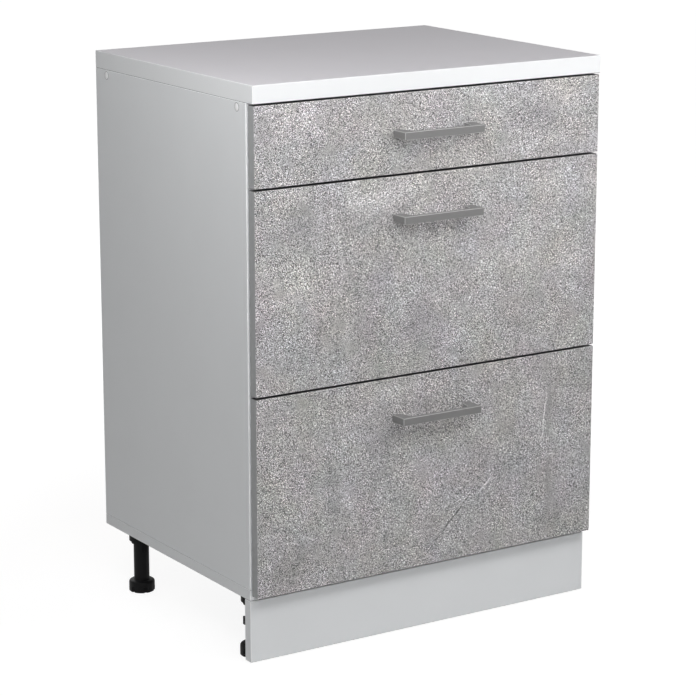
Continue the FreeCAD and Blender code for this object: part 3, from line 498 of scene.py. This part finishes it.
# %% [markdown]
# ## Coated and bare metal
# Runners and drawer sides are white powder-coated steel, with the slight orange
# peel of the melted powder. The rods are coated grey, the handles carry a satin
# grey lacquer, and the screws are zinc-plated. They differ in colour, gloss and in
# how strongly the same two noises show.

# %% Metal finishes
def coated_metal(name, colour, gloss, peel, metal=0.0, mottle=0.04, edge_highlight=0.0, shine=0.5):
    """Even colour with a faint mottle, an orange-peel relief, and a painted highlight on the
    eased edges.
    """
    finish, tree, shader = new_finish(name, Metallic=metal, Specular_IOR_Level=shine)
    point = surface_of(tree)
    mottle_and_edge_highlight = swing(tree, speckle(tree, point, 60, 3), mottle, 1.0)
    # painted highlight: the eased edges are made paler
    if edge_highlight:
        mottle_and_edge_highlight = both(tree, mottle_and_edge_highlight, times_plus(tree, eased_edge(tree), edge_highlight), "ADD")
    fine = speckle(tree, point, 1100)
    feed(tree, scaled(tree, colour, mottle_and_edge_highlight), shader, "Base Color")
    feed(tree, swing(tree, fine, 0.16, gloss), shader, "Roughness")
    bumps(tree, shader, fine, peel)
    return finish


runner_steel = coated_metal("runner_powder_white", (0.82, 0.82, 0.80), 0.38, 0.00004)
rod_steel = coated_metal("rod_powder_grey", (0.36, 0.37, 0.38), 0.40, 0.00004)
zinc = coated_metal("zinc_plating", (0.60, 0.62, 0.64), 0.32, 0.00002, metal=1.0, mottle=0.14)
# the handle's eased edges carry a strong painted highlight
handle_lacquer = coated_metal("handle_lacquer", (0.232, 0.230, 0.229), 0.42, 0.00002,
                              mottle=0.06, edge_highlight=1.4, shine=0.3)
print("metal:", runner_steel.name, rod_steel.name, zinc.name, handle_lacquer.name)

# %% [markdown]
# ## Moulded plastic
# Legs, clips and sockets are black moulded plastic with a fine eroded texture, and
# the rollers are smoother and white. Moulded plastic is never one value all over:
# flow marks change its gloss slightly.

# %% Plastic
def moulded(name, colour, gloss, erosion, shine=0.5):
    """Moulded plastic with cloudy flow marks and a fine eroded texture."""
    finish, tree, shader = new_finish(name, Specular_IOR_Level=shine)
    point = surface_of(tree)
    flow = speckle(tree, stretched(tree, point, (1, 1, 0.4)), 90, 3, 0.6)
    feed(tree, scaled(tree, colour, swing(tree, flow, 0.16, 1.0)), shader, "Base Color")
    feed(tree, swing(tree, flow, 0.3, gloss), shader, "Roughness")
    bumps(tree, shader, speckle(tree, point, 1500), erosion)
    return finish


leg_plastic = moulded("leg_plastic_black", (0.0055, 0.0055, 0.006), 0.52, 0.00005, 0.1)
roller_plastic = moulded("roller_plastic_white", (0.74, 0.74, 0.72), 0.30, 0.00001)
print("plastic:", leg_plastic.name, roller_plastic.name)

# %% [markdown]
# The screw cover caps are polished white plastic. Painted shade greys a cap towards its
# rear half, and a painted shadow darkens its rim where it comes down to the side board.
# The board's outer face lies 300 mm from the middle of the cabinet, so the distance
# tells the rim.

# %% Cap plastic
cap_plastic, tree, shader = new_finish("cap_plastic_white", Specular_IOR_Level=0.5)
point = surface_of(tree)
from_middle = size_of(tree, node(tree, "SeparateXYZ", {0: point}).outputs[0])
# painted shadow: the rim next to the board is dark
clear_of_painted_rim_shadow = between(tree, from_middle, 0.30014, 0.30030)
colour = mixed(tree, clear_of_painted_rim_shadow, (0.10, 0.103, 0.106, 1), (0.97, 0.97, 0.98, 1))
flow = speckle(tree, point, 220, 3)
# painted shade: faces that point back are darker
painted_rear_shade = between(tree, facing_parts(tree)[1], -0.12, 0.3)
flow_and_painted_shade = both(tree, swing(tree, flow, 0.06, 1.0), times_plus(tree, painted_rear_shade, -0.4, 1.0))
feed(tree, scaled(tree, colour, flow_and_painted_shade), shader, "Base Color")
feed(tree, swing(tree, flow, 0.16, 0.34), shader, "Roughness")
print("cap plastic:", len(tree.nodes), "nodes")

# %% [markdown]
# ## Beech
# The dowels are beech, whose grain is noise drawn out one way. It runs along the
# rails' dowels. All the dowels are hidden in the boards, so the upright ones share it.

# %% Beech
beech, tree, shader = new_finish("beech_dowel")
point = surface_of(tree)
rays = speckle(tree, stretched(tree, point, (90, 1400, 1400)), 1, 3, 0.6)
wood = mixed(tree, rays, (0.42, 0.24, 0.12, 1), (0.70, 0.48, 0.29, 1))
feed(tree, wood, shader, "Base Color")
feed(tree, times_plus(tree, rays, 0.2, 0.5), shader, "Roughness")
print("beech:", len(tree.nodes), "nodes")

# %% [markdown]
# ## Dressing the construction pieces
# Boards, runners, drawer sides and rods already have their true shape, so they keep
# it and only get a finish. The table goes by the material slot that each piece has
# in the record. Only the drawers' boards and the plinth need something else: their
# rear edges are coated too.

# %% Finishes for every slot
slot_finish = {
    "worktop_white": worktop_white,
    "carcass_white": carcass_white,
    "front_concrete": concrete,
    "hardboard": hardboard,
    "handle_grey": handle_lacquer,
    "runner_white": runner_steel,
    "rod_grey": rod_steel,
    "screw_zinc": zinc,
    "roller_plastic": roller_plastic,
    "cap_white": cap_plastic,
    "leg_black": leg_plastic,
    "dowel_beech": beech,
}
coated_all_round = ("drawer_base", "drawer_back", "plinth_panel")
for name, piece in frame["nodes"].items():
    slot_name = piece.material_slots[0].material.name.split(".")[0]
    finish = board_white if name.endswith(coated_all_round) else slot_finish[slot_name]
    piece.material_slots[0].material = finish
print("dressed", len(frame["nodes"]), "pieces")

# %% [markdown]
# ## Making mesh pieces
# `make_piece` turns a bmesh into an object that stands for a construction piece:
# it takes over that piece's place, its body and its material slot.

# %% Helper for mesh pieces
def make_piece(name, bm, stands_for, finish, sharp=35):
    """An object from bm, in place of the construction piece stands_for."""
    bmesh.ops.recalc_face_normals(bm, faces=bm.faces)
    mesh = bpy.data.meshes.new(name)
    bm.to_mesh(mesh)
    bm.free()
    mesh.shade_smooth()
    mesh.set_sharp_from_angle(angle=math.radians(sharp))
    mesh.materials.append(finish)
    piece = bpy.data.objects.new(name, mesh)
    scene.collection.objects.link(piece)
    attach(piece, frame["nodes"][stands_for]["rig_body"])
    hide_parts(stands_for)
    return piece


# %% [markdown]
# ## Bow handles
# Each handle is one bow of square bar: a straight grip, and at each end a leg that
# widens towards it. A curve swept along a path could make it, but not the flare. So
# the outline is drawn once, seen from above, then raised to the bar's height. A bevel
# modifier eases every edge, because it is the thin bright line along the front edges
# that makes the bar read as metal.
# The lacquer adds a painted highlight on the eased edges to that bright line.

# %% Handles
grip_thickness = 0.008
leg_width = 0.014
leg_flare = 0.018
inner_radius = 0.005


def handle_outline(low, high):
    """The bow from above: corner points, anticlockwise, with two rounded inside corners."""
    grip_back = low.y + grip_thickness
    left, right = low.x + leg_flare, high.x - leg_flare
    points = [(low.x, low.y), (high.x, low.y), (high.x, high.y), (high.x - leg_width, high.y)]
    for middle, start in ((right - inner_radius, 0), (left + inner_radius, 90)):
        for step in range(7):
            angle = math.radians(start + 15 * step)
            x = middle + inner_radius * math.cos(angle)
            y = grip_back + inner_radius - inner_radius * math.sin(angle)
            points.append((x, y))
    return points + [(low.x + leg_width, high.y), (low.x, high.y)]


for level in ("top", "middle", "bottom"):
    node_name = f"{level}_drawer_handle"
    low, high = (Vector(corner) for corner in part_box(node_name))
    bm = bmesh.new()
    outline = [bm.verts.new((x, y, low.z)) for x, y in handle_outline(low, high)]
    floor_face = bm.faces.new(outline)
    raised = bmesh.ops.extrude_face_region(bm, geom=[floor_face])
    top_verts = [item for item in raised["geom"] if isinstance(item, bmesh.types.BMVert)]
    bmesh.ops.translate(bm, verts=top_verts, vec=(0, 0, high.z - low.z))
    handle = make_piece(f"{level}_handle_bow", bm, node_name, handle_lacquer)
    ease = handle.modifiers.new("eased_edges", "BEVEL")
    ease.width, ease.segments, ease.harden_normals = 0.001, 4, True
    print(handle.name, "at", round(low.z, 4))

# %% [markdown]
# ## Turned pieces
# Feet, rollers, caps, dowels and screws are all round, so one helper makes them: it
# turns an outline of (radius, height) points about an axis. `shape` may change the
# radius and height by angle, which is how notches, flutes, threads and the cross in
# a screw's head are made. A spin modifier could turn a plain outline too, but not
# one that changes on its way round.

# %% Helper for turned pieces
def turned(bm, outline, place, around=32, shape=None, ring=False):
    """Turns outline about place's Z axis. With ring the outline is a closed loop."""
    rows = []
    for radius, height in outline:
        steps = 1 if radius == 0 else around
        row = []
        for step in range(steps):
            angle = 2 * math.pi * step / around
            r, z = shape(angle, radius, height) if shape else (radius, height)
            turned_point = Vector((r * math.cos(angle), r * math.sin(angle), z))
            row.append(bm.verts.new(place @ turned_point))
        rows.append(row)
    pairs = list(zip(rows, rows[1:])) + ([(rows[-1], rows[0])] if ring else [])
    for lower, upper in pairs:
        for step in range(around):
            after = step + 1
            corners = (lower[step % len(lower)], lower[after % len(lower)],
                       upper[after % len(upper)], upper[step % len(upper)])
            bm.faces.new(list(dict.fromkeys(corners)))


# %% [markdown]
# ## Finding where small pieces stand
# A construction piece such as `runner_screws` holds many solids. Their points tell
# where each one is, which way it points and how long it is, so no second list of
# places is needed. The wider end of a screw is its head.

# %% Helpers that read the construction pieces
def solids_of(name):
    """The points of each separate solid of a construction piece."""
    bm = bmesh.new()
    bm.from_mesh(frame["nodes"][name].data)
    bmesh.ops.remove_doubles(bm, verts=bm.verts, dist=1e-6)
    reached, solids = set(), []
    for first in bm.verts:
        if first.index in reached:
            continue
        reached.add(first.index)
        waiting, points = [first], []
        while waiting:
            vert = waiting.pop()
            points.append(vert.co.copy())
            for other in (edge.other_vert(vert) for edge in vert.link_edges):
                if other.index not in reached:
                    reached.add(other.index)
                    waiting.append(other)
        solids.append(points)
    bm.free()
    return solids


def stand_of(points, axis=None):
    """(place, length): place's Z points out of the wide end, which is at its origin."""
    low = Vector([min(point[number] for point in points) for number in range(3)])
    high = Vector([max(point[number] for point in points) for number in range(3)])
    size = high - low
    if axis is None:
        axis = max(range(3), key=lambda number: size[number])
    middle = (low + high) / 2

    def width_at(end):
        level = middle.copy()
        level[axis] = end
        return max((point - level).length for point in points if abs(point[axis] - end) < 1e-5)

    out = Vector((0, 0, 0))
    out[axis] = 1 if width_at(high[axis]) > width_at(low[axis]) else -1
    origin = middle + out * size[axis] / 2
    turn = out.to_track_quat("Z", "Y").to_matrix().to_4x4()
    return Matrix.Translation(origin) @ turn, size[axis]


# %% [markdown]
# ## Feet
# A foot is a moulded disc with rounded shoulders, six notches for a spanner or a
# fingertip, and a threaded stem that turns up into the leg's tube. The notches are
# bites of the outline: near each one the radius shrinks like the edge of a circle.

# %% Feet
mm = 0.001
foot_radius = 20 * mm
rim_from = 14 * mm
notch_radius = 2.4 * mm
notch_height = 9 * mm
notch_inset = 0.4 * mm
notch_turn = math.radians(18.5)
notch_spacing = math.radians(60)


def notched(angle, radius, height):
    """Pulls the disc's rim in where a notch bites it."""
    half = notch_spacing / 2
    off = (angle - notch_turn + half) % notch_spacing - half
    across = foot_radius * math.sin(off)
    if height < notch_height and radius > rim_from and abs(across) < notch_radius:
        bite = math.sqrt(notch_radius ** 2 - across ** 2)
        radius = min(radius, foot_radius - bite - notch_inset)
    return radius, height


def threaded(core, crest, pitch):
    """A shape whose radius rises to crest along a helix."""
    def shape(angle, radius, height):
        along = (height / pitch - angle / (2 * math.pi)) % 1
        ridge = max(0.0, 1 - abs(along - 0.5) / 0.3)
        return (core + (crest - core) * ridge, height) if radius == crest else (radius, height)
    return shape


# radius and height in millimetres: underside, rim, shoulder, collar
disc = [
    (0, 1.5), (13, 1.5), (14.6, 0), (19, 0),
    (20, 1), (20, 8.9), (20, 9), (20, 14),
    (19.7, 15.6), (18.7, 17), (17.2, 17.8), (15, 18.1),
    (13.1, 18.3), (12.5, 19), (12, 19.8), (11.5, 20), (0, 20),
]
for corner in ("front_left", "front_right", "back_left", "back_right"):
    node_name = f"foot_{corner}"
    low, high = (Vector(point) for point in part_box(node_name))
    place = Matrix.Translation(((low.x + high.x) / 2, (low.y + high.y) / 2, 0))
    bm = bmesh.new()
    turned(bm, [(r * mm, z * mm) for r, z in disc], place, 120, notched)
    stem = [(0, 19 * mm)] + [(8.5 * mm, (19 + 0.75 * step) * mm) for step in range(66)]
    stem += [(7.4 * mm, 69.2 * mm), (6.8 * mm, 70 * mm), (0, 70 * mm)]
    turned(bm, stem, place, 36, threaded(7.6 * mm, 8.5 * mm, 3 * mm))
    make_piece(f"{node_name}_disc_and_stem", bm, node_name, leg_plastic)
print("four feet")

# %% [markdown]
# ## Cover caps
# A cap is a shallow moulded dome on a small peg, pressed into the head of the screw
# that holds a rail. The dome is turned from a rounded outline rather than cut from a
# sphere, because it is flat on top and steep at the rim: so it catches the light on
# its front side. Where its rim meets the board, the cap's finish paints a thin dark
# joint as a painted shadow.

# %% Cover caps
# radius and height in millimetres, from the dome's top to its rim
cap_dome = [
    (0, 0), (1.6, -0.03), (2.8, -0.12), (3.8, -0.32), (4.7, -0.62), (5.5, -0.94), (6.2, -1.2),
]
bm = bmesh.new()
for points in solids_of("screw_cover_caps"):
    place, length = stand_of(points, axis=0)
    peg = [(1.5, -1.2), (1.5, -length / mm + 0.3), (1.2, -length / mm), (0, -length / mm)]
    turned(bm, [(r * mm, z * mm) for r, z in cap_dome + peg], place, 48)
caps = make_piece("domed_cover_caps", bm, "screw_cover_caps", cap_plastic, 50)
print("cover caps:", len(caps.data.polygons), "faces")

# %% [markdown]
# ## Rollers
# A drawer roller is a plain moulded wheel on a pin: a rounded tread, a thinner web
# and a hub round the bore. Its outline is a closed loop, so the bore stays open.

# %% Rollers
def roller_outline(radius, width):
    """Tread, web and hub of a wheel of that radius and width, in metres."""
    face = [
        (0.27, 0.0), (0.42, 0.0), (0.46, 0.10), (0.74, 0.10),
        (0.78, 0.0), (0.95, 0.0), (1.0, 0.08),
    ]
    bore = 2.6 * mm
    half = [(max(bore, share * radius), deep * width) for share, deep in face]
    other = [(r, width - z) for r, z in reversed(half)]
    return [(r, -z) for r, z in half + other]


for level in ("top", "middle", "bottom"):
    for owner in ("runner", "drawer"):
        node_name = f"{level}_{owner}_rollers"
        bm = bmesh.new()
        for points in solids_of(node_name):
            place, width = stand_of(points, axis=0)
            radius = max(abs(point.z - place.translation.z) for point in points)
            turned(bm, roller_outline(radius, width), place, 48, ring=True)
        make_piece(f"{level}_{owner}_wheels", bm, node_name, roller_plastic)
print("twelve rollers")

# %% [markdown]
# ## Dowels
# The beech dowels between the boards are fluted, so that glue can escape, and their
# ends are chamfered.

# %% Dowels
def fluted(angle, radius, height):
    """Twenty shallow flutes round the dowel."""
    return radius * (1 - 0.03 * (1 + math.cos(20 * angle)) / 2), height


bm = bmesh.new()
for points in solids_of("wood_dowels"):
    place, length = stand_of(points)
    length = length / mm
    stick = [(0, 0), (3.1, 0), (4, -1.4), (4, 1.4 - length), (3.1, -length), (0, -length)]
    turned(bm, [(r * mm, z * mm) for r, z in stick], place, 80, fluted)
make_piece("fluted_dowels", bm, "wood_dowels", beech, 60)
print("dowels ready")

# %% [markdown]
# ## Screws
# All the screws share one recipe: a threaded shank with a point, and a domed head
# with a cross recess. Only sizes change. The head is turned apart from the shank,
# with more steps round, because the recess needs them. The recess sinks every point
# of the head's top that lies on one of the cross's two arms.

# %% Helper for screws
def crossed(head, deep):
    """A shape that sinks a cross of depth deep into a head of radius head."""
    def shape(angle, radius, height):
        x, y = abs(radius * math.cos(angle)), abs(radius * math.sin(angle))
        if height > -0.3 * deep and radius < 0.56 * head and min(x, y) < 0.14 * head:
            height -= deep * (1 - 0.6 * radius / (0.56 * head))
        return radius, height
    return shape


def add_screw(bm, place, length, shank, head, head_height):
    """One screw whose head's top is at place; sizes in millimetres."""
    top = [(share * head, 0) for share in (0, 0.1, 0.2, 0.3, 0.4, 0.5, 0.6)]
    rim = [(0.8 * head, -0.06 * head_height), (0.93 * head, -0.22 * head_height),
           (head, -0.5 * head_height), (head, -head_height), (0, -head_height)]
    recess = crossed(head * mm, 0.6 * head_height * mm)
    turned(bm, [(r * mm, z * mm) for r, z in top + rim], place, 32, recess)
    pitch = 0.8 * shank
    rise = pitch / 3
    steps = int((length - head_height - shank) / rise)
    winding = [(shank, -head_height - rise * step) for step in range(steps)]
    tip = [(0.55 * shank, -length + 0.7 * shank), (0, -length)]
    thread = [(0, -0.6 * head_height)] + winding + tip
    shape = threaded(0.72 * shank * mm, shank * mm, pitch * mm)
    turned(bm, [(r * mm, z * mm) for r, z in thread], place, 12, shape)


# %% Screws
# shank radius, head radius and head height in millimetres
screw_sizes = {
    "carcass_screws": (2.5, 4.75, 3.0),
    "worktop_screws": (1.75, 3.5, 1.6),
    "leg_socket_screws": (1.75, 3.5, 1.6),
    "runner_screws": (1.75, 3.5, 1.6),
    "plinth_clip_screws": (1.75, 3.5, 1.6),
}
for level in ("top", "middle", "bottom"):
    screw_sizes[f"{level}_drawer_box_screws"] = (1.75, 3.5, 1.6)
    screw_sizes[f"{level}_drawer_handle_screws"] = (2.0, 4.0, 2.5)
for node_name, (shank, head, head_height) in screw_sizes.items():
    bm = bmesh.new()
    solids = solids_of(node_name)
    for points in solids:
        place, length = stand_of(points)
        add_screw(bm, place, length / mm, shank, head, head_height)
    make_piece(f"{node_name}_threaded", bm, node_name, zinc, 40)
    print(node_name, len(solids), "screws")

# %% [markdown]
# ## The floor and the world
# The floor and the world look pure white to the camera and in reflections, but
# light the cabinet only as a plain room would. Light Path tells the two apart. The
# floor that the camera sees is a glow plus a part of real shading, so the cabinet
# still casts its shadow. The glow grows with distance until nothing but white is left.

# %% Floor
def seen_directly(tree):
    """1 for rays from the camera, from reflections and through clear pieces."""
    path = node(tree, "LightPath").outputs
    seen = both(tree, path["Is Camera Ray"], path["Is Glossy Ray"], "MAXIMUM")
    return both(tree, seen, path["Is Transmission Ray"], "MAXIMUM")


floor_finish, tree, shader = new_finish("pale_floor", Roughness=1.0, Specular_IOR_Level=0.0)
shader.inputs["Base Color"].default_value = (0.78, 0.78, 0.78, 1)
output = tree.nodes["Material Output"]
soft = node(tree, "BsdfDiffuse", {"Color": (0.26, 0.26, 0.26, 1)})
far = node(tree, "VectorMath", {0: surface_of(tree)}, operation="LENGTH").outputs["Value"]
from_near_to_far = {"Value": far, "From Min": 0.6, "From Max": 1.6, "To Min": 0.88, "To Max": 1.0}
brightness = node(tree, "MapRange", from_near_to_far).outputs[0]
glow = node(tree, "Emission", {"Color": (1, 1, 1, 1), "Strength": brightness})
seen = node(tree, "AddShader", {0: soft.outputs[0], 1: glow.outputs[0]})
both_floors = {0: seen_directly(tree), 1: shader.outputs[0], 2: seen.outputs[0]}
choice = node(tree, "MixShader", both_floors)
tree.links.new(choice.outputs[0], output.inputs["Surface"])

bm = bmesh.new()
half_floor = 9
bmesh.ops.create_grid(bm, x_segments=8, y_segments=8, size=half_floor)
floor_mesh = bpy.data.meshes.new("floor")
bm.to_mesh(floor_mesh)
bm.free()
floor_mesh.materials.append(floor_finish)
floor = bpy.data.objects.new("floor", floor_mesh)
scene.collection.objects.link(floor)
print("floor of", 2 * half_floor, "by", 2 * half_floor, "m")

# %% World
world = bpy.data.worlds.new("plain_studio")
scene.world = world
world.use_nodes = True
tree = world.node_tree
tree.nodes.clear()
room_light = 0.09
light = node(tree, "Background", {"Color": (1, 1, 1, 1), "Strength": room_light})
white = node(tree, "Background", {"Color": (1, 1, 1, 1), "Strength": 1.0})
both_worlds = {0: seen_directly(tree), 1: light.outputs[0], 2: white.outputs[0]}
choice = node(tree, "MixShader", both_worlds)
node(tree, "OutputWorld", {"Surface": choice.outputs[0]})
scene.view_settings.view_transform = "Standard"
print("world light", room_light, "and white to the camera")

# %% [markdown]
# ## Studio lamps
# Soft square lamps stand as they would round a product table. A near key, a far key
# and one from the upper right light the fronts, brightest at the top, and a low one
# brings up the worktop's front edge. Three small lamps at the left make the side
# panel and the worktop fall off towards the back. Weak ones at the right and behind
# keep the far sides from going black.

# %% Lamps
def soft_lamp(name, place, aim, size, watts):
    """A square area lamp that points from place to aim."""
    lamp = bpy.data.lights.new(name, "AREA")
    lamp.size, lamp.energy = size, watts
    holder = bpy.data.objects.new(name, lamp)
    holder.location = place
    holder.rotation_euler = (Vector(aim) - Vector(place)).to_track_quat("-Z", "Y").to_euler()
    scene.collection.objects.link(holder)


# name, place, aim, size in metres, power in watts
lamps = [
    ("front_near_key", (-0.45, -1.0, 1.3), (-0.1, -0.2, 0.8), 0.5, 2.6),
    ("front_far_key", (-1.3, -3.0, 1.45), (0, -0.2, 0.6), 1.0, 14.6),
    ("upper_right_front", (0.5, -1.2, 1.7), (0, -0.2, 0.8), 0.6, 4.9),
    ("right_front_edge", (0.45, -0.9, 0.95), (0.2, -0.2, 0.83), 0.3, 1.9),
    ("left_front_fill", (-1.3, -1.2, 1.3), (-0.3, -0.1, 0.75), 0.6, 2.0),
    ("left_corner", (-0.7, -0.45, 1.15), (-0.3, -0.1, 0.8), 0.3, 0.6),
    ("left_side", (-0.9, -0.3, 1.3), (-0.3, 0.0, 0.82), 0.4, 2.2),
    ("right_fill", (2.4, 0.1, 1.3), (0.3, 0, 0.5), 1.5, 14.0),
    ("rear_fill", (0, 2.6, 1.5), (0, 0, 0.5), 1.5, 14.0),
]
for name, place, aim, size, watts in lamps:
    soft_lamp(name, place, aim, size, watts)
print(len(lamps), "lamps")
